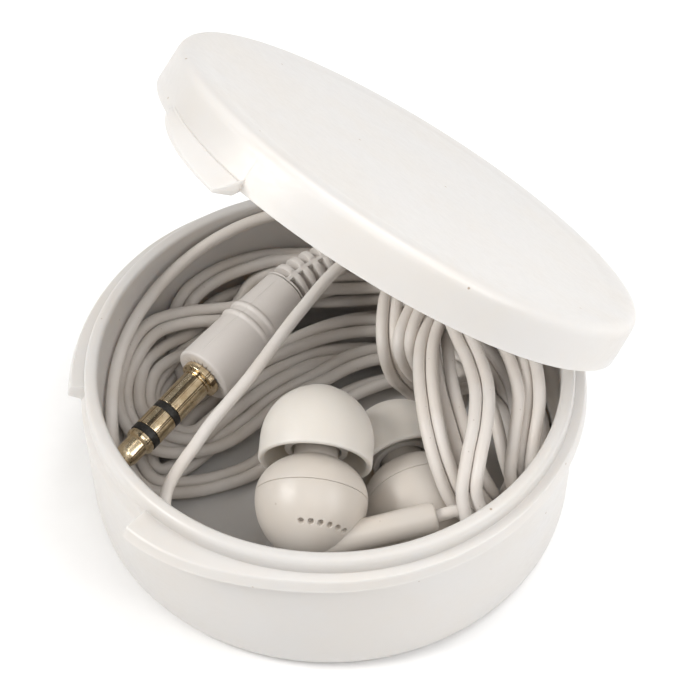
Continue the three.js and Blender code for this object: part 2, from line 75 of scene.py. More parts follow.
CORD = 1.4
BUD_RADIUS = 6.1
BUD_REAR = 6.8
BUD_FRONT = 4.7
SHELL = 0.8
NOZZLE_RADIUS = 2.4
NOZZLE_BORE = 1.7
NOZZLE_TIP = 9.0
TIP_RADIUS = 6.2
TIP_SKIRT = 4.0
TIP_TOP = 12.8
STEM_RADIUS = 1.65
STEM_START = 1.6
STEM_LENGTH = 14.2
STEM_ANGLE = 72
STEM_ORIGIN = -5.6

JACK_LENGTH = 14.6
JACK_RADIUS = 1.75
GRIP_LENGTH = 14.4
GRIP_FRONT_RADIUS = 3.5
GRIP_REAR_RADIUS = 2.7


def unit(v):
    v = np.asarray(v, float)
    return v / np.linalg.norm(v)


def basis(axis, side):
    """Rows x, y, z of a right-handed frame with z along axis and x as near to side as it can be."""
    z = unit(axis)
    x = unit(np.asarray(side, float) - np.dot(side, z) * z)
    return np.array([x, np.cross(z, x), z])


# Each bud: centre of its widest plane, then its frame, with z down the nozzle and x where the stem leans.
BUD_AT = {
    "right": np.array([-2.1, -13.5, 13.2]),
    "left": np.array([9.5, -9.4, 7.4]),
}
BUD_FRAME = {
    "right": basis((0.1, 0.954, 0.283), (0.99, -0.12, 0.03)),
    "left": basis((-0.26, 0.965, 0), (-0.92, -0.24, -0.3)),
}

PLUG_FACE = np.array([-14.1, 3.7, 13.4])
PLUG_AXIS = unit((0.627, 0.773, 0.1))
PLUG_FRAME = basis(PLUG_AXIS, (1, 0, 0))
RELIEF_START = PLUG_FACE + PLUG_AXIS * (GRIP_LENGTH + 0.15)
RELIEF_KNEE = RELIEF_START + PLUG_AXIS * 3.6
RELIEF_END = np.array([2.9, 20.7, 15.6])


def stem_direction(side):
    """A stem leans STEM_ANGLE away from its nozzle's direction."""
    lean, _, nozzle = BUD_FRAME[side]
    angle = math.radians(STEM_ANGLE)
    return nozzle * math.cos(angle) + lean * math.sin(angle)


def on_stem(side, distance):
    foot = BUD_AT[side] + BUD_FRAME[side][2] * STEM_ORIGIN
    return foot + stem_direction(side) * distance


# -------- camera

CAMERA_RISE = math.radians(50.6)
CAMERA_ROLL = math.radians(-0.7)
CAMERA_AIM = np.array([0, 0, 12.0])
CAMERA_DISTANCE = 284.0
CAMERA_LENS = 131.55
CAMERA_SHIFT = (0.02857, 0.08286)


def add_camera():
    """Camera looking along +Y and down, CAMERA_DISTANCE from the aim point, with a small roll."""
    forward = np.array([0, math.cos(CAMERA_RISE), -math.sin(CAMERA_RISE)])
    right = np.array([1.0, 0, 0])
    up = np.cross(right, forward)
    x = math.cos(CAMERA_ROLL) * right + math.sin(CAMERA_ROLL) * up
    y = -math.sin(CAMERA_ROLL) * right + math.cos(CAMERA_ROLL) * up
    place = np.eye(4)
    place[:3, :3] = np.array([x, y, -forward]).T
    place[:3, 3] = (CAMERA_AIM - forward * CAMERA_DISTANCE) * MM
    data = bpy.data.cameras.new("camera")
    data.lens = CAMERA_LENS
    data.shift_x, data.shift_y = CAMERA_SHIFT
    data.clip_start = 0.01
    camera = bpy.data.objects.new("camera", data)
    camera.matrix_world = Matrix(place)
    bpy.context.scene.collection.objects.link(camera)
    bpy.context.scene.camera = camera


# -------- surfaces

SHARP_ANGLE = 38            # an edge that turns by more than this is shaded as a sharp one


def surface(name, grids, wrap=True):
    """One mesh from grids of points in millimetres. Row i and column j of a grid are joined to their
    neighbours, and the columns close into a ring where wrap is true. Points that coincide are joined, so
    that poles and seams close."""
    points, quads, start = [], [], 0
    for grid in grids:
        rows, columns = grid.shape[:2]
        i, j = np.meshgrid(np.arange(rows - 1), np.arange(columns - (not wrap)), indexing="ij")
        k = (j + 1) % columns
        corners = [i * columns + j, i * columns + k, (i + 1) * columns + k, (i + 1) * columns + j]
        quads.append(np.stack(corners, axis=-1).reshape(-1, 4) + start)
        points.append(grid.reshape(-1, 3))
        start += rows * columns
    points = np.concatenate(points)
    _, first, same = np.unique(np.round(points, 5), axis=0, return_index=True, return_inverse=True)
    quads = same.reshape(-1)[np.concatenate(quads)]
    repeated = quads == np.roll(quads, -1, axis=1)
    whole = quads[~repeated.any(axis=1)]
    halves = [quads[repeated[:, c] & (repeated.sum(axis=1) == 1)][:, [x for x in range(4) if x != c]]
              for c in range(4)]
    faces = whole.tolist() + np.concatenate(halves).tolist()
    mesh = bpy.data.meshes.new(name)
    mesh.from_pydata((points[first] * MM).tolist(), [], faces)
    mesh.shade_smooth()
    mesh.set_sharp_from_angle(angle=math.radians(SHARP_ANGLE))
    made = bpy.data.objects.new(name, mesh)
    bpy.context.scene.collection.objects.link(made)
    return made


def rounded(corners, steps=6):
    """Profile through corners (radius, height, cut). A corner with a cut becomes the parabola that
    leaves its two sides at that distance from it: (1-t)^2 A + 2t(1-t) corner + t^2 B."""
    at = np.array([c[:2] for c in corners], float)
    out = []
    for i, corner in enumerate(corners):
        cut = corner[2] if len(corner) > 2 else 0
        if not cut:
            out.append(at[i][None])
            continue
        before, after = at[i - 1] - at[i], at[i + 1] - at[i]
        a = at[i] + unit(before) * min(cut, np.linalg.norm(before) / 2)
        b = at[i] + unit(after) * min(cut, np.linalg.norm(after) / 2)
        t = np.linspace(0, 1, steps)[:, None]
        out.append((1 - t) ** 2 * a + 2 * t * (1 - t) * at[i] + t**2 * b)
    return np.concatenate(out)


def refined(profile, step):
    """The same profile with points added so that none are further apart than step."""
    gaps = np.linalg.norm(np.diff(profile, axis=0), axis=1)
    parts = [np.linspace(a, b, max(1, math.ceil(g / step)), endpoint=False)
             for a, b, g in zip(profile[:-1], profile[1:], gaps)]
    return np.concatenate(parts + [profile[-1:]])


def ellipse(radius, depth, start, end, steps):
    """Points (radius cos t, depth sin t) for t from start to end, in degrees."""
    t = np.radians(np.linspace(start, end, steps + 1))
    return np.stack([radius * np.cos(t), depth * np.sin(t)], axis=1)


def turned(profile, azimuths):
    """A profile (radius, height) carried round the z axis. The profile may have one row for each azimuth,
    as an array (rows, azimuths, 2)."""
    a = np.radians(azimuths)
    profile = np.asarray(profile, float)
    if profile.ndim == 2:
        profile = np.repeat(profile[:, None], len(a), axis=1)
    r, z = profile[..., 0], profile[..., 1]
    return np.stack([r * np.cos(a), r * np.sin(a), z], axis=-1)


def ring(count):
    return np.arange(count) * 360 / count


def placed(grid, origin, frame_rows):
    """Points given in a local frame, put at origin with the local axes along frame_rows."""
    return np.asarray(origin) + grid @ frame_rows


def smooth(x, low, high):
    """0 below low, 1 above high, and 3t^2 - 2t^3 between."""
    t = np.clip((np.asarray(x, float) - low) / (high - low), 0, 1)
    return t * t * (3 - 2 * t)


def units(rows):
    return rows / np.linalg.norm(rows, axis=1, keepdims=True)


def headings(line):
    """Unit vectors along a line."""
    return units(np.gradient(line, axis=0))


def level_across(ahead):
    """Unit vectors to the left of each heading, and level."""
    return units(np.stack([-ahead[:, 1], ahead[:, 0], 0 * ahead[:, 0]], axis=1))


def capped(grid, first, last):
    """The grid with its first and last rows closed on a point each."""
    ends = [np.repeat(point[None, None], grid.shape[1], axis=1) for point in (first, last)]
    return np.concatenate([ends[0], grid, ends[1]])


# -------- the cords' routes

def spline(points, step):
    """Centripetal Catmull-Rom curve through the points, resampled at even steps."""
    p = np.asarray(points, float)
    p = np.concatenate([[2 * p[0] - p[1]], p, [2 * p[-1] - p[-2]]])
    knots = np.concatenate([[0], np.cumsum(np.linalg.norm(np.diff(p, axis=0), axis=1) ** 0.5)])
    out = []
    for i in range(1, len(p) - 2):
        t0, t1, t2, t3 = knots[i - 1:i + 3]
        t = np.linspace(t1, t2, 24, endpoint=False)[:, None]
        a1 = (t1 - t) / (t1 - t0) * p[i - 1] + (t - t0) / (t1 - t0) * p[i]
        a2 = (t2 - t) / (t2 - t1) * p[i] + (t - t1) / (t2 - t1) * p[i + 1]
        a3 = (t3 - t) / (t3 - t2) * p[i + 1] + (t - t2) / (t3 - t2) * p[i + 2]
        b1 = (t2 - t) / (t2 - t0) * a1 + (t - t0) / (t2 - t0) * a2
        b2 = (t3 - t) / (t3 - t1) * a2 + (t - t1) / (t3 - t1) * a3
        out.append((t2 - t) / (t2 - t1) * b1 + (t - t1) / (t2 - t1) * b2)
    return even(np.concatenate(out + [p[-2:-1]]), step)


def even(line, step):
    """The polyline resampled at even distances of about step."""
    along = np.concatenate([[0], np.cumsum(np.linalg.norm(np.diff(line, axis=0), axis=1))])
    at = np.linspace(0, along[-1], max(2, round(along[-1] / step) + 1))
    return np.stack([np.interp(at, along, line[:, k]) for k in range(3)], axis=1)


# The loose stretches: out of the plug's relief, and from each bud's stem up to the winding.
LEAD_EXIT = [
    (3.2, 20.9, 15.6), (5.5, 22.1, 16.2), (8.5, 22.0, 16.9), (10.8, 20.2, 17.1), (12.6, 16.7, 16.6),
]
RIGHT_LEAD = [
    on_stem("right", STEM_LENGTH + 0.1), on_stem("right", STEM_LENGTH + 2.6),
    (15.6, -16.0, 12.2), (16.8, -16.6, 10.0), (16.6, -17.5, 7.6), (15.2, -18.8, 5), (11, -21.4, 3.4),
    (4, -23.9, 2.8), (-6, -23.4, 3.6), (-13, -20.2, 7), (-17.9, -13.6, 12.4), (-14.1, -6.7, 15.3),
    (-8.7, -0.4, 18), (-3.2, 7.0, 20.3), (1.6, 13.4, 20.9), (6, 17, 20.2), (9.6, 17.6, 18.6),
]
LEFT_LEAD = [
    on_stem("left", STEM_LENGTH + 0.1), on_stem("left", STEM_LENGTH + 2.4),
    (-7, -15, 2.0), (-12, -19.5, 2.4), (-18.2, -15.2, 5), (-22.6, -8.5, 9), (-24.2, 0, 12.4),
    (-22.7, 8.6, 14.8), (-17, 17.3, 16.8), (-8.8, 22.7, 18.2), (0, 24.3, 18.6), (7, 23.2, 19.4),
    (11.6, 19.6, 19.6),
]

# One turn of the wound lead, from the drape over the right side round to the back wall:
# centre of the bundle, and half of its width and height.
TURN = np.array([
    (13.2, 10.5, 16.6, 7.2, 2.3), (14.3, 3.5, 16.8, 8.0, 2.2), (15.3, -3, 16.0, 6.9, 2.1),
    (16.6, -8.5, 13.7, 4.5, 2.1), (17.6, -12.0, 10.9, 3.0, 2.1),
    (20.9, -8.6, 6.2, 2.5, 2.8), (22.2, -1.5, 5.2, 2.3, 3.0), (21.5, 6.0, 4.4, 2.4, 2.6),
    (17.5, 13.0, 4.5, 3.4, 2.7), (12.5, 15.2, 4.6, 4.4, 2.9), (2.5, 14.6, 4.6, 5.0, 3.0),
    (-6.5, 9.3, 4.2, 5.6, 2.7), (-13.5, 3.5, 3.9, 5.6, 2.5), (-19.0, 0.2, 4.2, 4.2, 2.5),
    (-21.3, 6.3, 6.5, 2.6, 2.9), (-19.2, 11.2, 7.3, 2.9, 3.2), (-14, 16.8, 8.2, 3.2, 3.4),
    (-6, 20.6, 8.8, 3.0, 3.4), (3, 21.3, 9.4, 2.9, 3.0), (8.5, 20.2, 11.0, 2.9, 2.5),
    (13.0, 15.9, 14.6, 4.2, 2.2),
])
# Each pass of the wound lead: lanes are (station, across, above), where +1 across is the bundle's left
# edge and +1 above its top; a stretch (first, last, points) has its own points in place of those stations.
TWIN_PASSES = [
    {"lanes": [(9, 0.9, -0.7), (11, 1.1, -0.9), (12, 1.25, -0.9), (13, 1.1, -0.6), (14, 0.9, -0.7),
               (16, 0.7, -0.8), (18, 0.6, -0.7)],
     "stretches": [(0, 8, [(8.2, 13.6, 17.2), (7.0, 10.6, 17.9), (6.7, 7.6, 17.8), (6.7, 5.2, 16.4),
                           (7.4, 4.5, 13.2), (9.0, 4.8, 9.4), (12.0, 5.6, 6.0), (15.4, 8.2, 3.8)])]},
    {"lanes": [(9, 0.4, 0.2), (11, 0.3, 0.1), (12, 0.4, 0.2)],
     "stretches": [(0, 8, [(11.6, 12.4, 17.6), (9.8, 8.6, 18.6), (8.6, 5.8, 18.4), (8.4, 4.0, 17.0),
                           (9.4, 4.0, 13.4), (11.4, 4.6, 10.4), (14.2, 6.4, 7.6), (16.6, 9.6, 5.8)]),
                   (13, 16, [(-19.0, -0.2, 5.6), (-22.2, 1.8, 6.8), (-23.4, 4.2, 8.4), (-23.2, 6.8, 10.2),
                             (-22.0, 9.4, 11.6), (-20.2, 11.8, 12.2), (-17.4, 13.4, 12.0),
                             (-13.1, 14.8, 11.0), (-8.0, 16.6, 9.8)])]},
    {"lanes": [(5, 0.2, 0.7), (9, 0.2, -0.8), (11, -0.1, 0.7), (12, 0.0, 0.7)],
     "stretches": [(0, 4, [(12.6, 10.2, 18.0), (11.1, 6.0, 18.7), (10.5, 1.8, 18.7), (10.5, -2.4, 18.3),
                           (11.0, -7.0, 17.2), (12.2, -11.2, 15.0), (13.8, -13.6, 12.4), (16.8, -13.6, 9.2)]),
                   (13, 16, [(-16.6, 0.8, 5.6), (-19.5, 2.6, 6.6), (-21.0, 4.4, 7.8), (-21.3, 6.4, 9.0),
                             (-19.9, 9.2, 9.4), (-17.5, 11.6, 9.0), (-12.5, 14.6, 8.0)])]},
    {"lanes": [(6, -0.3, -0.8), (9, -0.2, 0.8), (11, -0.7, 0.9), (12, -1.0, 1.0), (17, 0.9, 1.0),
               (19, 0.0, 0.8)],
     "stretches": [(0, 4, [(13.6, 8.4, 19.2), (14.4, 4.2, 20.0), (15.5, 0.4, 20.3), (16.3, -3.8, 20.3),
                           (16.2, -7.4, 19.7), (15.4, -11.2, 18.2), (14.6, -14.4, 15.8), (15.4, -16.4, 12.8),
                           (17.8, -15.4, 9.6), (20.4, -11.6, 7.2)]),
                   (13, 17, [(-15.0, 7.4, 5.4), (-16.6, 10.6, 6.0), (-17.6, 13.4, 7.4), (-17.4, 15.4, 9.6),
                             (-16.0, 17.4, 11.6), (-13.4, 19.6, 12.2), (-9.0, 21.8, 12.2),
                             (-4.0, 23.2, 11.4)])]},
    {"lanes": [(5, 0.6, -0.3), (9, -0.5, -0.5), (11, -0.3, -0.6), (13, -0.4, -0.6), (15, -0.1, -1.0),
               (17, 0.2, -0.9), (19, -0.7, -0.6)],
     "stretches": [(0, 4, [(12.4, 7.4, 16.8), (12.5, 2.1, 16.8), (13.1, -2.9, 16.4), (14.3, -7.2, 15.0),
                           (15.7, -10.3, 12.6), (18.2, -11.2, 9.4)])]},
]
RIGHT_PASSES = [
    {"lanes": [(5, -0.2, 0.4), (9, -0.8, -0.3), (11, -0.7, -0.3), (13, 0.5, -0.9), (15, 0.4, -0.2),
               (17, 0.5, 0.1), (19, 0.4, -0.7)],
     "stretches": [(0, 4, [(15.2, 9.0, 15.8), (15.9, 4.0, 16.6), (16.8, -0.6, 16.6), (18.0, -5.2, 15.8),
                           (19.0, -9.4, 13.8), (20.4, -10.8, 10.6)])]},
    {"lanes": [(5, -0.9, 0.4), (9, -0.9, 0.6), (11, -0.95, 0.2), (13, -0.7, -0.3), (15, -0.6, -0.8),
               (17, -0.3, -0.4), (19, 0.9, 0.2)],
     "stretches": [(0, 4, [(20.2, 8.4, 17.4), (21.6, 3.8, 18.6), (22.5, -0.6, 18.8), (22.6, -4.6, 18.0),
                           (21.8, -8.6, 16.0), (21.2, -10.8, 12.8), (22.0, -9.6, 9.4)])]},
]
LEFT_PASSES = [
    {"lanes": [(6, 0.1, 0.1), (9, -0.6, 0.9), (11, -0.45, 0.3), (13, 0.9, -0.9), (15, 0.9, -0.3),
               (17, 0.0, -0.1), (19, 0.9, -0.6)],
     "stretches": [(0, 4, [(17.4, 8.6, 17.6), (18.6, 4.2, 18.8), (19.8, 0.2, 19.0), (20.4, -3.8, 18.4),
                           (19.9, -8.0, 16.6), (19.3, -11.4, 14.0), (20.2, -12.0, 10.6)])]},
    {"lanes": [(6, -0.5, -0.2), (9, -0.3, -0.9), (11, -0.9, -0.8), (13, -0.7, 0.4), (15, -0.6, 0.1),
               (17, -0.8, 0.4), (19, -0.8, 0.5)],
     "stretches": [(0, 4, [(18.6, 9.0, 17.0), (20.6, 4.0, 18.2), (21.4, -0.4, 18.4), (21.3, -4.6, 17.2),
                           (20.5, -8.8, 15.0), (21.2, -9.8, 11.2)])]},
]
LOOP_BACK = {
    "right": [(15.8, 14.6, 18.2), (17.6, 11.8, 19.6), (15.6, 12.6, 20.9), (12.4, 15.6, 20.2)],
    "left": [(15.4, 16.2, 15.6), (18.6, 14.6, 16.4), (19.4, 13.4, 18.6), (16.4, 16.2, 20.2)],
}


ROUTE_STEP = 1.0            # between the points of a settled line
CORD_STEP = 0.6             # between the rings of a finished cord


def wound(passes):
    """Points of consecutive turns: station centre + across * u * half width + above * v * half height,
    where across is up x ahead and above is ahead x across."""
    centre = TURN[:, :3]
    ahead = np.roll(centre, -1, axis=0) - np.roll(centre, 1, axis=0)
    across = level_across(ahead)
    above = units(np.cross(ahead, across))
    reach = TURN[:, 3:] - CORD / 2
    out = []
    for each in passes:
        at, u, v = np.array(each["lanes"]).T
        u, v = (np.interp(np.arange(len(TURN)), at, x)[:, None] for x in (u, v))
        points = centre + across * u * reach[:, :1] + above * v * reach[:, 1:]
        for first, last, own in reversed(each["stretches"]):
            points = np.concatenate([points[:first], own, points[last + 1:]])
        out.append(points)
    return np.concatenate(out)


def side_by_side(line):
    """Unit vectors across a line that turn as little as they can and drift towards the level."""
    ahead = headings(line)
    side = np.empty_like(ahead)
    side[0] = unit((-ahead[0, 1], ahead[0, 0], 0))
    for i in range(1, len(line)):
        carried = side[i - 1] - (side[i - 1] @ ahead[i]) * ahead[i]
        level = np.array([-ahead[i, 1], ahead[i, 0], 0])
        side[i] = unit(carried + 0.12 * level * np.sign(level @ carried))
    return side


def first_routes():
    """Each channel's whole cord from the plug's relief: its half of the twin passes, then its single
    passes, then back to its bud."""
    twin = spline(np.concatenate([[RELIEF_END], LEAD_EXIT, wound(TWIN_PASSES)]), ROUTE_STEP)
    offset = side_by_side(twin) * CORD / 2
    right = [(twin - offset)[:-4:4], wound(RIGHT_PASSES), LOOP_BACK["right"], RIGHT_LEAD[::-1]]
    left = [(twin + offset)[:-4:4], wound(LEFT_PASSES), LOOP_BACK["left"], LEFT_LEAD[::-1]]
    return [spline(np.concatenate(joined), ROUTE_STEP) for joined in (right, left)]


TIP_PULL = {"right": 0, "left": 1.6}      # room that is kept for pulling the tip off


def obstacles():
    """What the cords may not enter: capsules (one end, other end, radius)."""
    relief_middle = (RELIEF_START + RELIEF_KNEE) / 2
    found = []
    for side in ("right", "left"):
        at, nozzle = BUD_AT[side], BUD_FRAME[side][2]
        found.append((at - nozzle * 0.7, at + nozzle * (6.6 + TIP_PULL[side]), TIP_RADIUS))
        found.append((on_stem(side, 3), on_stem(side, STEM_LENGTH - STEM_RADIUS), STEM_RADIUS))
    found.append((PLUG_FACE - PLUG_AXIS * JACK_LENGTH, PLUG_FACE, JACK_RADIUS))
    found.append((PLUG_FACE + PLUG_AXIS * 3, PLUG_FACE + PLUG_AXIS * (GRIP_LENGTH - 3), GRIP_FRONT_RADIUS))
    found.append((RELIEF_START, relief_middle, 2.5))
    found.append((relief_middle, RELIEF_END, 2.1))
    return found


def kept_out(points, a, b, radius):
    """Points inside a capsule are moved straight out to its surface."""
    axis = b - a
    t = np.clip(((points - a) @ axis) / (axis @ axis), 0, 1)[:, None]
    away = points - (a + t * axis)
    far = np.linalg.norm(away, axis=1, keepdims=True)
    return np.where(far < radius, a + t * axis + away / np.maximum(far, 1e-6) * radius, points)


SETTLE_ROUNDS = 170
SEARCH_EVERY = 5            # rounds between two searches for strands that lie close
HELD_POINTS = 4             # at each end of a cord
CLEARANCE = 0.05
CORD_CEILING = 21.2         # for a cord's centre line, under the shut lid


def settled(lines):
    """Lets the cords settle: each round evens out every cord's departure from its route and lessens it,
    parts the strands that lie closer than a diameter, and keeps them inside the case and off the
    other pieces. The ends stay where they are."""
    start = np.concatenate([[0], np.cumsum([len(x) for x in lines])])
    route = np.concatenate(lines)
    number = np.concatenate([np.arange(len(x)) + 100000 * k for k, x in enumerate(lines)])
    from_end = np.concatenate([np.minimum(np.arange(len(x)), np.arange(len(x))[::-1]) for x in lines])
    held = (from_end < HELD_POINTS)[:, None]
    p = route.copy()
    for turn in range(SETTLE_ROUNDS):
        if turn % SEARCH_EVERY == 0:
            square = (p**2).sum(axis=1)
            gap = square[:, None] + square[None] - 2 * p @ p.T
            i, j = np.nonzero(np.triu(gap < (CORD * 1.7) ** 2, 1))
            keep = np.abs(number[i] - number[j]) > 5
            i, j = i[keep], j[keep]
        moved = p - route
        middle = moved.copy()
        for a, b in zip(start[:-1], start[1:]):
            middle[a + 1:b - 1] = (moved[a:b - 2] + moved[a + 2:b]) / 2
        q = p + 0.4 * (middle - moved) - 0.03 * moved
        for _ in range(2):
            away = q[i] - q[j]
            far = np.linalg.norm(away, axis=1, keepdims=True)
            push = away / np.maximum(far, 1e-6) * np.clip(CORD * 1.01 - far, 0, None) * 0.45
            shift = np.zeros_like(q)
            np.add.at(shift, i, push)
            np.add.at(shift, j, -push)
            q = q + np.clip(shift, -0.35, 0.35)
        for a, b, radius in obstacles():
            q = kept_out(q, a, b, radius + CORD / 2 + CLEARANCE)
        r = np.linalg.norm(q[:, :2], axis=1, keepdims=True)
        q[:, :2] *= np.minimum(1, (WALL_INNER - CORD / 2 - CLEARANCE) / r)
        q[:, 2] = np.clip(q[:, 2], FLOOR + CORD / 2 + 0.02, CORD_CEILING)
        p = np.where(held, route, q)
    return [p[a:b] for a, b in zip(start[:-1], start[1:])]


def tube(name, line, radius, sides=12):
    """A circle of the given radius carried along the line, its frame turning as little as it can, with
    a flat cap on each end."""
    ahead = headings(line)
    side = np.empty_like(ahead)
    side[0] = unit(np.cross(ahead[0], (0.3, 0.2, 1)))
    for i in range(1, len(line)):
        side[i] = unit(side[i - 1] - (side[i - 1] @ ahead[i]) * ahead[i])
    other = np.cross(ahead, side)
    a = np.radians(ring(sides))[None, :, None]
    grid = line[:, None] + radius * (np.cos(a) * side[:, None] + np.sin(a) * other[:, None])
    return surface(name, [capped(grid, line[0], line[-1])])


# -------- materials

class Value:
    """A number on a node socket. Arithmetic on it adds Math nodes."""

    def __init__(self, look, socket):
        self.look = look
        self.socket = socket

    def __add__(self, other):
        return self.look.math("ADD", self, other)

    def __sub__(self, other):
        return self.look.math("SUBTRACT", self, other)

    def __rsub__(self, other):
        return self.look.math("SUBTRACT", other, self)

    def __mul__(self, other):
        return self.look.math("MULTIPLY", self, other)

    __radd__ = __add__
    __rmul__ = __mul__

    def above(self, low, high):
        """0 below low, 1 above high, smooth between."""
        node = self.look.node("MapRange", {"interpolation_type": "SMOOTHSTEP"},
                              Value=self, **{"From Min": low, "From Max": high})
        return Value(self.look, node.outputs[0])


class Look:
    """A material under construction, on Object coordinates counted in millimetres."""

    def __init__(self, name, colour, roughness, **constants):
        self.material = bpy.data.materials.new(name)
        self.material.use_nodes = True
        self.tree = self.material.node_tree
        self.shader = self.tree.nodes["Principled BSDF"]
        self.shader.inputs["Base Color"].default_value = (*colour, 1)
        self.shader.inputs["Roughness"].default_value = roughness
        self.shader.inputs["Subsurface Radius"].default_value = (1.0, 0.88, 0.76)
        for key, value in constants.items():
            self.shader.inputs[key.replace("_", " ")].default_value = value
        coordinates = self.node("TexCoord").outputs["Object"]
        scaled = self.node("VectorMath", {"operation": "SCALE"}, **{"0": coordinates, "Scale": 1000.0})
        self.place = scaled.outputs[0]

    def node(self, kind, settings=None, **inputs):
        """A shader node of that type: its settings first, then each input's value or link."""
        node = self.tree.nodes.new("ShaderNode" + kind)
        for key, value in (settings or {}).items():
            setattr(node, key, value)
        for key, value in inputs.items():
            socket = node.inputs[int(key)] if key.isdigit() else node.inputs[key]
            value = value.socket if isinstance(value, Value) else value
            if isinstance(value, bpy.types.NodeSocket):
                self.tree.links.new(value, socket)
            else:
                socket.default_value = value
        return node

    def math(self, operation, *values):
        inputs = {str(k): value for k, value in enumerate(values)}
        return Value(self, self.node("Math", {"operation": operation}, **inputs).outputs[0])

    def along(self, direction):
        """How far a point lies along a direction, in millimetres."""
        inputs = {"0": self.place, "1": tuple(direction)}
        return self.node("VectorMath", {"operation": "DOT_PRODUCT"}, **inputs).outputs[1]

    def noise(self, per_mm, detail=3.0, rough=0.55, stretch=(1, 1, 1)):
        at = self.node("VectorMath", {"operation": "MULTIPLY"}, **{"0": self.place, "1": stretch}).outputs[0]
        node = self.node("TexNoise", Vector=at, Scale=per_mm, Detail=detail, Roughness=rough)
        return Value(self, node.outputs["Fac"])

    def cells(self, per_mm, randomness=1.0):
        """Distance from the nearest of the points scattered through space, in cells."""
        node = self.node("TexVoronoi", Vector=self.place, Scale=per_mm, Randomness=randomness)
        return Value(self, node.outputs["Distance"])

    def mixed(self, factor, first, second):
        node = self.node("Mix", {"data_type": "RGBA"}, Factor=factor)
        for socket, value in ((node.inputs[6], first), (node.inputs[7], second)):
            if isinstance(value, bpy.types.NodeSocket):
                self.tree.links.new(value, socket)
            else:
                socket.default_value = (*value, 1)
        return node.outputs[2]

    def colour(self, socket):
        self.tree.links.new(socket, self.shader.inputs["Base Color"])

    def roughness(self, value):
        self.tree.links.new(value.socket, self.shader.inputs["Roughness"])

    def bump(self, height, depth_mm, strength=1.0):
        """Bump from a height between 0 and 1, depth_mm deep."""
        node = self.node("Bump", Height=height, Distance=depth_mm * MM, Strength=strength)
        self.tree.links.new(node.outputs["Normal"], self.shader.inputs["Normal"])


def moulded(name, colour, tint, roughness, grain=0.02, specks=0.0, **constants):
    """Moulded plastic: slow cloudy tint, a fine skin, worn patches that are duller, and a few dark specks."""
    look = Look(name, colour, roughness, **constants)
    clouds = look.noise(0.09, 4.0)
    skin = look.noise(2.6, 4.0, 0.6)
    scuffs = look.noise(0.8, 5.0, 0.7, (1, 1, 3))
    shade = look.mixed(clouds.above(0.35, 0.7), colour, tint)
    if specks:
        dots = 1 - look.cells(0.33).above(0.03, 0.06)
        rare = look.noise(0.21, 0.0).above(0.56, 0.6)
        shade = look.mixed(dots * rare * specks, shade, (0.33, 0.24, 0.16))
    look.colour(shade)
    look.roughness(scuffs.above(0.3, 0.8) * 0.16 + (roughness - 0.06))
    look.bump(skin * 0.7 + clouds * 0.3, grain)
    return look.material


def case_plastic():
    return moulded("case_plastic", (0.65, 0.634, 0.618), (0.65, 0.624, 0.594), 0.36, 0.012, 0.8,
                   Subsurface_Weight=0.35, Subsurface_Scale=0.0025)


def housing_plastic():
    return moulded("housing_plastic", (0.66, 0.618, 0.572), (0.68, 0.622, 0.556), 0.4, 0.006, 0.3,
                   Subsurface_Weight=0.2, Subsurface_Scale=0.001, Coat_Weight=0.12, Coat_Roughness=0.3)


def grip_plastic():
    return moulded("grip_plastic", (0.71, 0.67, 0.64), (0.73, 0.69, 0.65), 0.42, 0.02, 1.0,
                   Subsurface_Weight=0.1, Subsurface_Scale=0.0008)


def tip_silicone():
    return moulded("tip_silicone", (0.8, 0.752, 0.69), (0.81, 0.765, 0.71), 0.4, 0.01, 0.0,
                   Subsurface_Weight=0.45, Subsurface_Scale=0.0016, Sheen_Weight=0.15)


def cord_jacket():
    """Soft cord jacket: matt skin, rubbed paler in patches, with dusty specks."""
    look = Look("cord_jacket", (0.6, 0.565, 0.53), 0.48, Subsurface_Weight=0.08, Subsurface_Scale=0.0006)
    clouds = look.noise(0.16, 3.0)
    skin = look.noise(4.5, 4.0, 0.65)
    dust = 1 - look.cells(0.7).above(0.04, 0.08)
    shade = look.mixed(clouds.above(0.35, 0.65), (0.72, 0.668, 0.615), (0.75, 0.712, 0.675))
    look.colour(look.mixed(dust * 0.35, shade, (0.36, 0.3, 0.25)))
    look.roughness(skin * 0.2 + 0.36)
    look.bump(skin, 0.025)
    return look.material


def gold_contact():
    """Thin gold plating: pitted, worn to paler brass in places, with dark lengthwise streaks that are painted
    reflections of the dark surroundings.
    """
    look = Look("gold_contact", (0.62, 0.46, 0.26), 0.2, Metallic=1.0)
    wear = look.noise(0.7, 5.0, 0.65)
    pits = 1 - look.cells(4.2).above(0.1, 0.32)
    patch = look.noise(1.6, 3.0).above(0.42, 0.6)
    # Dark streaks that run along the plug's axis: painted reflections of the dark surroundings in the metal.
    x, y = (look.along(row) for row in basis(PLUG_AXIS, (0, 0, 1))[:2])
    flat = look.node("CombineXYZ", X=x, Y=y).outputs[0]
    painted_reflection_noise = look.node("TexNoise", Vector=flat, Scale=1.3, Detail=3.0, Roughness=0.7)
    painted_reflection_streaks = Value(look, painted_reflection_noise.outputs["Fac"]).above(0.56, 0.62)
    shade = look.mixed(wear.above(0.35, 0.7), (0.62, 0.49, 0.31), (0.86, 0.73, 0.52))
    shade = look.mixed(painted_reflection_streaks * 0.85, shade, (0.09, 0.065, 0.04))
    look.colour(look.mixed(pits * patch * 0.7, shade, (0.14, 0.1, 0.06)))
    look.roughness(wear * 0.24 + pits * patch * 0.3 + 0.1)
    look.bump(1 - pits * patch, 0.02)
    return look.material


def insulator():
    """Black moulded plastic of the rings between the contacts."""
    look = Look("insulator", (0.012, 0.011, 0.01), 0.4)
    fine = look.noise(3.0, 3.0)
    look.colour(look.mixed(fine.above(0.4, 0.7), (0.01, 0.009, 0.008), (0.03, 0.027, 0.024)))
    look.roughness(fine * 0.2 + 0.3)
    look.bump(fine, 0.01)
    return look.material


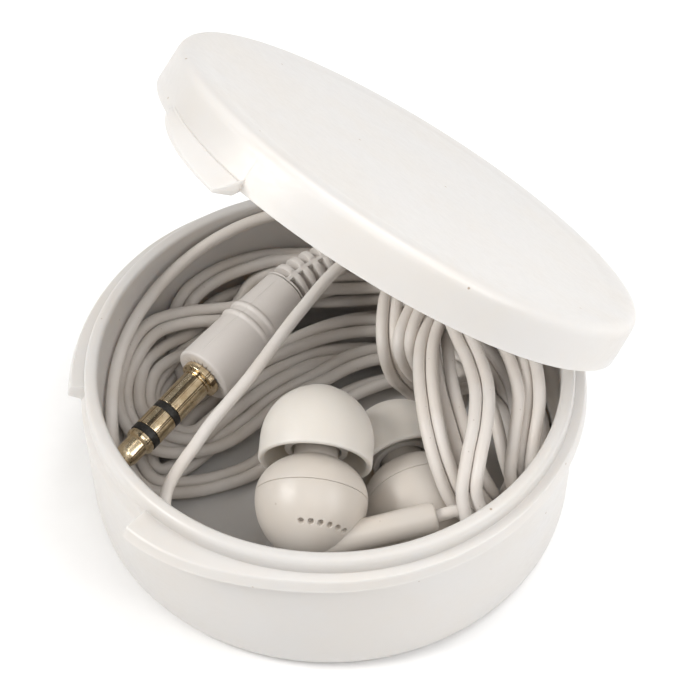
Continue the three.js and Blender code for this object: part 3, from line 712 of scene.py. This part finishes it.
def driver_steel():
    """Drawn steel with a fine grain and light staining."""
    look = Look("driver_steel", (0.46, 0.46, 0.45), 0.34, Metallic=1.0)
    grain = look.noise(2.2, 4.0, 0.6, (1, 1, 6))
    stain = look.noise(0.6, 3.0)
    look.colour(look.mixed(stain.above(0.4, 0.7), (0.5, 0.5, 0.49), (0.32, 0.31, 0.29)))
    look.roughness(grain * 0.25 + 0.22)
    look.bump(grain, 0.01)
    return look.material


def driver_film():
    """Thin smoky film with pressed ripples."""
    look = Look("driver_film", (0.2, 0.21, 0.22), 0.25)
    ripple = look.noise(2.0, 1.0)
    look.colour(look.mixed(ripple, (0.15, 0.16, 0.17), (0.32, 0.33, 0.34)))
    look.roughness(ripple * 0.2 + 0.15)
    look.bump(ripple, 0.03)
    return look.material


def mesh_cloth():
    """Woven steel gauze: small holes in a grid, painted near black as the shade seen through them."""
    look = Look("mesh_cloth", (0.1, 0.095, 0.09), 0.6, Metallic=0.6)
    holes = 1 - look.cells(5.0, 0.15).above(0.25, 0.4)
    # The holes' near-black colour is painted shade of the dark space behind the gauze.
    look.colour(look.mixed(holes, (0.3, 0.29, 0.28), (0.01, 0.01, 0.01)))
    look.roughness(holes * 0.3 + 0.4)
    look.bump(1 - holes, 0.04)
    return look.material


# -------- case

def azimuths(count, *steps, width=0.3):
    """Even azimuths, with a close pair added at each step so that the wall there stands up."""
    close = [s + d for s in steps for d in (-width, -width / 3, width / 3, width)]
    return np.unique(np.round(np.concatenate([ring(count), np.array(close) % 360]), 4))


def turn_from(a, centre):
    """Signed angle from centre to a, in -180..180 degrees."""
    return (a - centre + 180) % 360 - 180


def between(profile_low, profile_high, low, high, radius):
    """The profile for each azimuth: profile_low where radius is low, profile_high where it is high."""
    share = ((radius - low) / (high - low))[None, :, None]
    return profile_low[:, None] * (1 - share) + profile_high[:, None] * share


RING_GAP = (TAB_AZIMUTH - 24.5, TAB_AZIMUTH + 16)     # where the shoulder ring stops
LEAF_RADIUS = HINGE_RADIUS - 0.7


def on_leaf(a):
    """1 over the arc of the hinge leaves and 0 beyond it."""
    return 1 - smooth(np.abs(turn_from(a, HINGE_AZIMUTH)), LEAF_HALF - 0.6, LEAF_HALF + 0.6)


def shoulder_radius(a):
    """The shoulder ring swells into a guard on each side of the tab's gap, steps in over the gap, and
    steps out where the hinge leaf lies."""
    before = turn_from(a, RING_GAP[0])
    after = turn_from(a, RING_GAP[1])
    swell = np.where(before < 0, 0.5 * smooth(before, -75, -45), 0)
    swell = swell + np.where(after > 0, 2.1 * (1 - smooth(after, 0, 42)), 0)
    in_gap = smooth(before, -0.2, 0.2) * (1 - smooth(after, -0.2, 0.2))
    out = (SHOULDER_RADIUS + swell) * (1 - in_gap) + (COLLAR_OUTER + 0.03) * in_gap
    return out + (LEAF_RADIUS - SHOULDER_RADIUS) * on_leaf(a)


def case_profile(shoulder):
    """The base's section: out along the underside, up to the shoulder and the collar, and down inside."""
    return rounded([
        (0, 0), (BASE_RADIUS - 6, 0), (BASE_RADIUS, 0, 2.6), (BODY_RADIUS, SHOULDER - 2.15, 0.3),
        (shoulder, SHOULDER - 1.3, 0.3), (shoulder - 0.2 * (shoulder - COLLAR_OUTER), SHOULDER, 0.35),
        (COLLAR_OUTER, SHOULDER + 0.02, 0.15), (COLLAR_OUTER - 0.05, COLLAR_TOP, 0.75),
        (WALL_INNER, COLLAR_TOP, 0.55), (WALL_INNER - 0.04, FLOOR, 1.9), (WALL_INNER - 7, FLOOR), (0, FLOOR),
    ])


def case_base():
    a = azimuths(288, *RING_GAP)
    low, high = COLLAR_OUTER, SHOULDER_RADIUS + 2
    profile = between(case_profile(low), case_profile(high), low, high, shoulder_radius(a))
    return surface("case_body", [turned(profile, a)])


def tab_radius(a):
    """Outside radius of the lid's edge: bowed out over the tab and over the hinge leaf."""
    t = turn_from(a, TAB_AZIMUTH) / TAB_HALF
    bow = 2.55 + 1.7 * t - 0.6 * t**2
    tab = 1 - smooth(np.abs(t) * TAB_HALF, TAB_HALF - 0.25, TAB_HALF + 0.25)
    return LID_RADIUS + bow * tab + (LEAF_RADIUS - LID_RADIUS) * on_leaf(a)


LIP_REACH = 3.7
TAB_DEPTH = 1.7             # half of it reaches below the lid's edge


def lid_profile(out):
    """The lid's section: plate, skirt, and, as out goes from 0 to 1, a lip round its edge whose face
    slopes out and down from a narrow strip to LIP_REACH beyond the skirt."""
    def lip(height, reach, lifted):
        return (LID_RADIUS - 0.03 * height * (1 - out) + LIP_REACH * reach * out,
                LID_BOTTOM + height * (1 - out) + lifted * out)
    low, high = -TAB_DEPTH / 2 + 0.03, TAB_DEPTH / 2 - 0.03
    return rounded([
        (0, LID_TOP - LID_PLATE), (LID_TOP_RADIUS - LID_WALL, LID_TOP - LID_PLATE, 0.6),
        (LID_RADIUS - LID_WALL, LID_BOTTOM, 0.2), (*lip(0, 0.06, low), 0.1), (*lip(0.2, 0.97, low), 0.15),
        (*lip(0.7, 1, low + 0.35), 0.15), (*lip(1.2, 0.2, high), 0.2), (*lip(1.4, 0.02, high - 0.12), 0.1),
        (LID_TOP_RADIUS, LID_TOP, 1.3), (LID_TOP_RADIUS - 2.6, LID_TOP, 0.6),
        (LID_TOP_RADIUS - 3.6, LID_TOP - 0.12, 0.6), (0, LID_TOP - 0.1),
    ])


def case_lid():
    a = azimuths(288, TAB_AZIMUTH - TAB_HALF, TAB_AZIMUTH + TAB_HALF)
    profile = between(lid_profile(0), lid_profile(1), LID_RADIUS, LID_RADIUS + LIP_REACH, tab_radius(a))
    return surface("lid_shell", [swung(turned(profile, a), LID_OPEN)])


HINGE_OUT = np.array([math.cos(math.radians(HINGE_AZIMUTH)), math.sin(math.radians(HINGE_AZIMUTH)), 0])
HINGE_AXIS = np.array([-HINGE_OUT[1], HINGE_OUT[0], 0])


def swung(points, degrees):
    """Points turned about the hinge line, from the shut position to the opening given."""
    t = math.radians(degrees)
    pivot = HINGE_OUT * HINGE_RADIUS + (0, 0, HINGE_HEIGHT)
    v = points - pivot
    return (pivot + v * math.cos(t) + np.cross(HINGE_AXIS, v) * math.sin(t)
            + (v @ HINGE_AXIS)[..., None] * HINGE_AXIS * (1 - math.cos(t)))


STRAP_HALF = 4.5
STRAP_THICK = 0.45
STRAP_RADIUS = HINGE_RADIUS - 0.35      # of its two ends, with the lid shut


def strap_ends():
    """Where the strap meets the case's leaf and the lid's leaf, as (distance from the axis, height)."""
    foot = np.array([STRAP_RADIUS, SHOULDER - 1.6])
    centre = np.array([HINGE_RADIUS, HINGE_HEIGHT])
    v = np.array([STRAP_RADIUS, LID_BOTTOM + 1.1]) - centre
    t = math.radians(-LID_OPEN)
    head = centre + (v[0] * math.cos(t) - v[1] * math.sin(t), v[0] * math.sin(t) + v[1] * math.cos(t))
    return foot, head


def hinge_strap():
    """A thin strap bent from leaf to leaf: its middle line is a parabola, thinned at the middle into the
    line that it flexes on, and its ribbon section has round edges."""
    foot, head = strap_ends()
    knee = np.array([HINGE_RADIUS + 1.1, HINGE_HEIGHT + 0.35])
    t = np.linspace(0, 1, 41)[:, None]
    line = (1 - t) ** 2 * foot + 2 * t * (1 - t) * knee + t**2 * head
    ahead = headings(line)
    outward = np.stack([ahead[:, 1], -ahead[:, 0]], axis=1)
    thin = 1 - 0.35 * np.exp(-((t - 0.5) / 0.1) ** 2)
    a = np.radians(ring(40))
    across = STRAP_HALF * np.sign(np.cos(a)) * np.abs(np.cos(a)) ** 0.25
    depth = STRAP_THICK / 2 * (1 + np.sin(a))
    flat = line[:, None] + outward[:, None] * (depth[None, :, None] * thin[:, None])
    up = np.array([0, 0, 1.0])
    grid = flat[..., :1] * HINGE_OUT + flat[..., 1:] * up + across[None, :, None] * HINGE_AXIS
    grid = capped(grid, grid[0].mean(axis=0), grid[-1].mean(axis=0))
    return surface("hinge_band", [grid[:, ::-1]])


# -------- earbuds

VENTS = [-95 + 13 * k for k in range(6)]
VENT_TILT = 43
VENT_RADIUS = 0.34
VENT_DEPTH = 0.6


def dented(grid, centre, direction, radius, depth):
    """The grid pressed in against direction by depth inside a small circle about centre."""
    v = grid - centre
    off = np.linalg.norm(v - (v @ direction)[..., None] * direction, axis=-1)
    facing = (v @ direction) > -2 * radius
    press = (1 - smooth(off, radius * 0.75, radius)) * facing
    return grid - (press * depth)[..., None] * direction


def bud_columns():
    fine = np.arange(VENTS[0] - 6, VENTS[-1] + 6, 0.8) % 360
    return np.unique(np.round(np.concatenate([ring(96), fine]), 3))


def rear_housing(side):
    """Bulb (BUD_RADIUS cos t, BUD_REAR sin t) turned about the nozzle's axis, with a wall SHELL thick and a
    row of vents pressed in."""
    a = bud_columns()
    band = np.linspace(-49, -31, 26)
    outer = np.concatenate([np.linspace(-90, -50, 22), band, np.linspace(-30, -1.5, 16)])
    t = np.radians(outer)
    bulb = np.stack([BUD_RADIUS * np.cos(t), BUD_REAR * np.sin(t)], axis=1)
    bulb[0, 0] = 0
    lip = np.array([(BUD_RADIUS - 0.01, -0.05), (BUD_RADIUS - 0.05, -0.03), (BUD_RADIUS - SHELL, -0.03)])
    inner = ellipse(BUD_RADIUS - SHELL, BUD_REAR - SHELL, -2, -90, 24)
    inner[-1, 0] = 0
    grid = turned(np.concatenate([bulb, lip, inner]), a)
    skin = slice(0, len(bulb))
    level = math.cos(math.radians(VENT_TILT))
    drop = math.sin(math.radians(VENT_TILT))
    for turn in VENTS:
        azimuth = math.radians(turn)
        out = np.array([level * math.cos(azimuth), level * math.sin(azimuth), -drop])
        at = out / math.hypot(level / BUD_RADIUS, drop / BUD_REAR)
        grid[skin] = dented(grid[skin], at, out, VENT_RADIUS, VENT_DEPTH)
    return surface(f"{side}_housing", [placed(grid, BUD_AT[side], BUD_FRAME[side])])


def front_shell(side):
    """Dome (BUD_RADIUS cos t, BUD_FRONT sin t) that runs into the nozzle, which has a ridge for the tip."""
    rim = ellipse(BUD_RADIUS, BUD_FRONT, 1.5, 62, 24)
    nozzle = rounded([
        rim[-1], (NOZZLE_RADIUS, BUD_FRONT - 0.35, 0.3), (NOZZLE_RADIUS, 7.2, 0.1),
        (NOZZLE_RADIUS + 0.2, 7.4, 0.1), (NOZZLE_RADIUS + 0.2, 8.0, 0.1), (NOZZLE_RADIUS, 8.3, 0.1),
        (NOZZLE_RADIUS, NOZZLE_TIP, 0.3), (NOZZLE_BORE, NOZZLE_TIP, 0.1), (NOZZLE_BORE, BUD_FRONT - SHELL),
    ])
    inside = ellipse(BUD_RADIUS - SHELL, BUD_FRONT - SHELL, 60, 2, 18)
    edge = np.array([(BUD_RADIUS - SHELL, 0.03), (BUD_RADIUS - 0.05, 0.03), (BUD_RADIUS - 0.01, 0.05)])
    profile = np.concatenate([edge[-1:], rim, nozzle, inside, edge])
    return surface(f"{side}_nozzle_shell", [placed(turned(profile, ring(96)), BUD_AT[side], BUD_FRAME[side])])


def ear_tip(side):
    """Silicone tip: a sleeve round the nozzle, folded back over a dome into a thin skirt."""
    bore = NOZZLE_RADIUS + 0.3
    middle = TIP_SKIRT + 2.5
    depth = TIP_TOP - middle
    dome = ellipse(TIP_RADIUS, depth, 0, 68, 28) + (0, middle)
    under = ellipse(TIP_RADIUS - 0.75, depth - 1.2, 52, 4, 20) + (0, middle)
    sleeve = rounded([
        (bore + 0.75, NOZZLE_TIP - 0.6), (bore + 0.75, TIP_SKIRT + 1.4, 0.25), (bore, TIP_SKIRT + 1.4, 0.25),
        (bore, NOZZLE_TIP + 0.3, 0.3), (1.9, NOZZLE_TIP + 0.6, 0.3), (1.9, TIP_TOP - 0.15, 0.4), dome[-1],
    ])
    skirt = rounded([
        under[-1], (TIP_RADIUS - 0.62, TIP_SKIRT, 0.35), (TIP_RADIUS, TIP_SKIRT, 0.35), dome[0],
    ])
    shell = np.concatenate([skirt, dome[1:], sleeve[::-1], under])
    return surface(f"{side}_silicone_tip", [placed(turned(shell, ring(112)), BUD_AT[side], BUD_FRAME[side])])


def stem(side):
    """Round stem with a soft end and a shallow mouth for the cord."""
    profile = rounded([
        (0, STEM_START), (STEM_RADIUS, STEM_START, 0.2), (STEM_RADIUS, STEM_LENGTH, 1.1),
        (0.95, STEM_LENGTH, 0.2), (0.85, STEM_LENGTH - 0.35, 0.1), (0, STEM_LENGTH - 0.35),
    ])
    foot = on_stem(side, 0)
    rows = basis(stem_direction(side), (0, 0, 1))
    return surface(f"{side}_stem_tube", [placed(turned(refined(profile, 0.5), ring(56)), foot, rows)])


# -------- plug

TIP_JOINT = -10.35
RING_JOINT = -6.8
INSULATOR = 0.85
RING_CLEAR = 0.04
POST = 1.15
TIP_NECK = 1.35


def on_plug(name, profile, count=72):
    return surface(name, [placed(turned(profile, ring(count)), PLUG_FACE, PLUG_FRAME)])


def washer(name, z0, z1, radius, cut):
    """A ring between two heights, its outer edges eased by cut."""
    profile = rounded([(POST, z0), (radius, z0, cut), (radius, z1, cut), (POST, z1), (POST, z0)], 4)
    return on_plug(name, profile)


def jack_tip():
    """The tip contact: a blunt cone, a waist, and a flange against the first insulator."""
    start = -JACK_LENGTH
    return on_plug("jack_tip", rounded([
        (0, start), (0.6, start + 0.1, 0.2), (TIP_NECK, start + 1.3, 0.5), (TIP_NECK, TIP_JOINT - 0.95, 0.1),
        (JACK_RADIUS - 0.12, TIP_JOINT - 0.8, 0.12), (JACK_RADIUS, TIP_JOINT - 0.4, 0.12),
        (JACK_RADIUS - 0.1, TIP_JOINT - 0.32, 0.05), (JACK_RADIUS - 0.1, TIP_JOINT - RING_CLEAR, 0.05),
        (0, TIP_JOINT - RING_CLEAR),
    ]))


def jack_sleeve():
    """The sleeve contact with its groove and collar, and the shank that the grip is moulded on."""
    return on_plug("jack_sleeve", rounded([
        (POST, RING_JOINT + INSULATOR + RING_CLEAR), (JACK_RADIUS, RING_JOINT + INSULATOR + RING_CLEAR, 0.08),
        (JACK_RADIUS, -1.35, 0.12), (JACK_RADIUS - 0.12, -1.15, 0.1), (JACK_RADIUS, -0.95, 0.1),
        (2.3, -0.85, 0.15), (2.3, -0.1, 0.1), (1.85, -0.1), (1.85, 5), (POST, 5),
        (POST, RING_JOINT + INSULATOR + RING_CLEAR),
    ]))


GRIP_RIB = 8.2
PARTING = np.array([-0.35, -0.25, 0.9])     # side of the grip that the mould's parting line runs along


def grip():
    """Tapering grip, radius 3.5 - 0.8 (z / length)^1.3, with two round ribs, a rounded front edge, and a
    fine parting ridge along two sides."""
    z = np.arange(0.6, GRIP_LENGTH, 0.1)
    taper = GRIP_FRONT_RADIUS + (GRIP_REAR_RADIUS - GRIP_FRONT_RADIUS) * (z / GRIP_LENGTH) ** 1.3
    rib = sum(0.24 * np.exp(-((z - GRIP_RIB - d) / 0.28) ** 4) for d in (-0.72, 0.72))
    side = np.stack([taper + rib, z], axis=1)
    front = rounded([(2.0, 0), (GRIP_FRONT_RADIUS, 0, 0.55), side[0]], 8)
    back = rounded([side[-1], (GRIP_REAR_RADIUS, GRIP_LENGTH, 0.25), (0, GRIP_LENGTH)])
    bore = np.array([(0, 7.0), (2.0, 7.0), (2.0, 0)])
    profile = np.concatenate([front, side[1:-1], back])
    seams = (seam_angle(), seam_angle() + 180)
    close = [(seam + np.array([-1.6, -0.8, 0, 0.8, 1.6])) % 360 for seam in seams]
    a = np.unique(np.round(np.concatenate([ring(120), *close]), 3))
    off = np.min([np.abs(turn_from(a, seam)) for seam in seams], axis=0)
    body = np.repeat(profile[:, None], len(a), axis=1)
    on_side = smooth(profile[:, 1], 0.3, 0.9) * (1 - smooth(profile[:, 1], 13.9, 14.2))
    body[..., 0] += on_side[:, None] * 0.05 * (1 - smooth(off, 0.3, 1.6))
    return surface("grip_moulding", [placed(turned(body, a), PLUG_FACE, PLUG_FRAME),
                                     placed(turned(bore, ring(72)), PLUG_FACE, PLUG_FRAME)])


def seam_angle():
    """The parting line's azimuth in the plug's own frame."""
    x, y, _ = PLUG_FRAME @ PARTING
    return math.degrees(math.atan2(y, x)) % 360


SLOTS = 6
RELIEF_ROOT = 2.62
RELIEF_MOUTH = 1.7
RELIEF_CORE = 1.3           # the slots reach almost down to it


def strain_relief():
    """Tapering sleeve bent towards the cord. Six rows of slots leave round rings, joined by a spine along
    its top and one along its bottom: radius = taper - slot(s) (1 - spine(angle))."""
    t = np.linspace(0, 1, 241)[:, None]
    line = (1 - t) ** 2 * RELIEF_START + 2 * t * (1 - t) * RELIEF_KNEE + t**2 * RELIEF_END
    line = even(line, 0.045)
    s = np.linspace(0, 1, len(line))
    ahead = headings(line)
    across = level_across(ahead)
    above = np.cross(ahead, across)
    row = s * (SLOTS + 0.55)
    phase = row % 1
    wave = np.where(row < SLOTS, smooth(np.abs(phase - 0.36), 0.16, 0.27), 1)
    crown = 0.16 * np.sin(np.pi * np.clip((phase - 0.55) / 0.7 % 1, 0, 1))
    taper = (RELIEF_ROOT - (RELIEF_ROOT - RELIEF_MOUTH) * s)[:, None]
    a = np.radians(ring(96))
    spine = np.maximum(1 - smooth(np.abs(a - np.pi / 2 - 0.25), 0.1, 0.2),
                       1 - smooth(np.abs(a - 3 * np.pi / 2 + 0.25), 0.1, 0.2))
    cut = (1 - wave)[:, None] * (1 - spine)[None]
    raised = (crown * wave)[:, None] * (1 - spine)[None]
    radius = taper + raised - cut * (taper - RELIEF_CORE) * 0.95
    grid = (line[:, None] + radius[..., None] * (np.cos(a)[None, :, None] * across[:, None]
                                               + np.sin(a)[None, :, None] * above[:, None]))
    return surface("relief_sleeve", [capped(grid, line[0], line[-1])])


# -------- putting it together

def dress(piece, material, body, slot, *nodes):
    """Material, finish (the slot argument, which is not used), the body it rides on, and the CAD nodes that
    it stands for.
    """
    piece.data.materials.append(material)
    if body:
        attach(piece, body)
    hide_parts(*nodes)
    return piece


def repaint(name, material):
    """A CAD node keeps its shape and gets another material."""
    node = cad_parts[name]
    node.data.materials.clear()
    node.data.materials.append(material)


def build():
    case_look, grip_look, housing_look = case_plastic(), grip_plastic(), housing_plastic()
    gold, black, steel = gold_contact(), insulator(), driver_steel()
    film, gauze, silicone, jacket = driver_film(), mesh_cloth(), tip_silicone(), cord_jacket()

    plug = [
        dress(jack_tip(), gold, "case", "gold_contact", "plug_tip_contact"),
        dress(washer("jack_tip_insulator", TIP_JOINT, TIP_JOINT + INSULATOR, JACK_RADIUS - 0.02, 0.05),
              black, "case", "insulator", "plug_tip_insulator"),
        dress(washer("jack_ring", TIP_JOINT + INSULATOR + RING_CLEAR, RING_JOINT - RING_CLEAR, JACK_RADIUS,
                     0.08),
              gold, "case", "gold_contact", "plug_ring_contact"),
        dress(washer("jack_ring_insulator", RING_JOINT, RING_JOINT + INSULATOR, JACK_RADIUS - 0.02, 0.05),
              black, "case", "insulator", "plug_ring_insulator"),
        dress(jack_sleeve(), gold, "case", "gold_contact", "plug_sleeve_contact"),
        dress(grip(), grip_look, "case", "grip_plastic", "plug_grip"),
        dress(strain_relief(), grip_look, "case", "grip_plastic", "plug_strain_relief"),
        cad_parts["plug_centre_post"],
    ]

    windings = [f"lead_winding_{stretch}" for stretch in ("left", "back", "right", "turn")]
    for side, line in zip(("right", "left"), settled(first_routes())):
        line = spline(line[::-1], CORD_STEP)
        piece = dress(tube(f"{side}_cord", line, CORD / 2), jacket, "case", "cord_jacket",
                      f"{side}_lead", *windings, "plug_lead")

    dress(case_base(), case_look, "case", "case_plastic", "case_base")
    dress(case_lid(), case_look, "lid", "case_plastic", "case_lid")
    strap = dress(hinge_strap(), case_look, None, "hinge_plastic", "hinge_strap")
    foot, head = ((HINGE_OUT * r + (0, 0, z)) * MM for r, z in strap_ends())
    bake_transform(strap)

    for side in ("right", "left"):
        dress(rear_housing(side), housing_look, "case", "housing_plastic", f"{side}_rear_housing")
        dress(front_shell(side), housing_look, "case", "housing_plastic", f"{side}_front_shell")
        dress(ear_tip(side), silicone, f"{side}_tip", "silicone", f"{side}_ear_tip")
        dress(stem(side), housing_look, "case", "housing_plastic", f"{side}_stem")
        repaint(f"{side}_driver_frame", steel)
        repaint(f"{side}_driver_magnet", steel)
        repaint(f"{side}_driver_diaphragm", film)
        repaint(f"{side}_nozzle_mesh", gauze)
    repaint("plug_centre_post", steel)


# -------- floor and light

def add_floor():
    """A wide pale sheet that the case stands on, with a faint paper grain."""
    look = Look("paper_floor", (0.93, 0.93, 0.93), 0.7)
    grain = look.noise(0.4, 4.0)
    look.colour(look.mixed(grain, (0.92, 0.92, 0.92), (0.95, 0.95, 0.95)))
    x = np.linspace(-2500, 2500, 21)
    grid = np.stack([*np.meshgrid(x, x, indexing="xy"), np.full((21, 21), -0.02)], axis=-1)
    floor = surface("paper_floor", [grid], wrap=False)
    floor.data.materials.append(look.material)


def add_light(name, at, size, watts, colour):
    """A square soft light at a place in metres, turned to face the case."""
    data = bpy.data.lights.new(name, "AREA")
    data.size = size
    data.energy = watts
    data.color = colour
    lamp = bpy.data.objects.new(name, data)
    away = unit(np.array(at) - (0, 0, 0.012))
    rows = basis(away, (0.3, 1, 0.1))
    place = np.eye(4)
    place[:3, :3] = rows.T
    place[:3, 3] = at
    lamp.matrix_world = Matrix(place)
    bpy.context.scene.collection.objects.link(lamp)


def add_lights():
    world = bpy.data.worlds.new("studio")
    world.use_nodes = True
    world.node_tree.nodes["Background"].inputs["Color"].default_value = (1.0, 0.99, 0.98, 1)
    world.node_tree.nodes["Background"].inputs["Strength"].default_value = 0.27
    bpy.context.scene.world = world
    add_light("key", (-0.36, -0.08, 0.34), 0.2, 1.55, (1.0, 0.985, 0.96))
    add_light("side", (0.38, -0.2, 0.3), 0.3, 1.05, (1.0, 0.995, 0.99))
    add_light("front", (0.06, -0.28, 0.5), 0.25, 0.55, (1.0, 0.99, 0.98))
    add_light("top", (0.2, 0.1, 0.47), 0.36, 1.5, (1.0, 1.0, 1.0))
    bpy.context.scene.view_settings.view_transform = "Standard"


add_camera()
build()
add_floor()
add_lights()
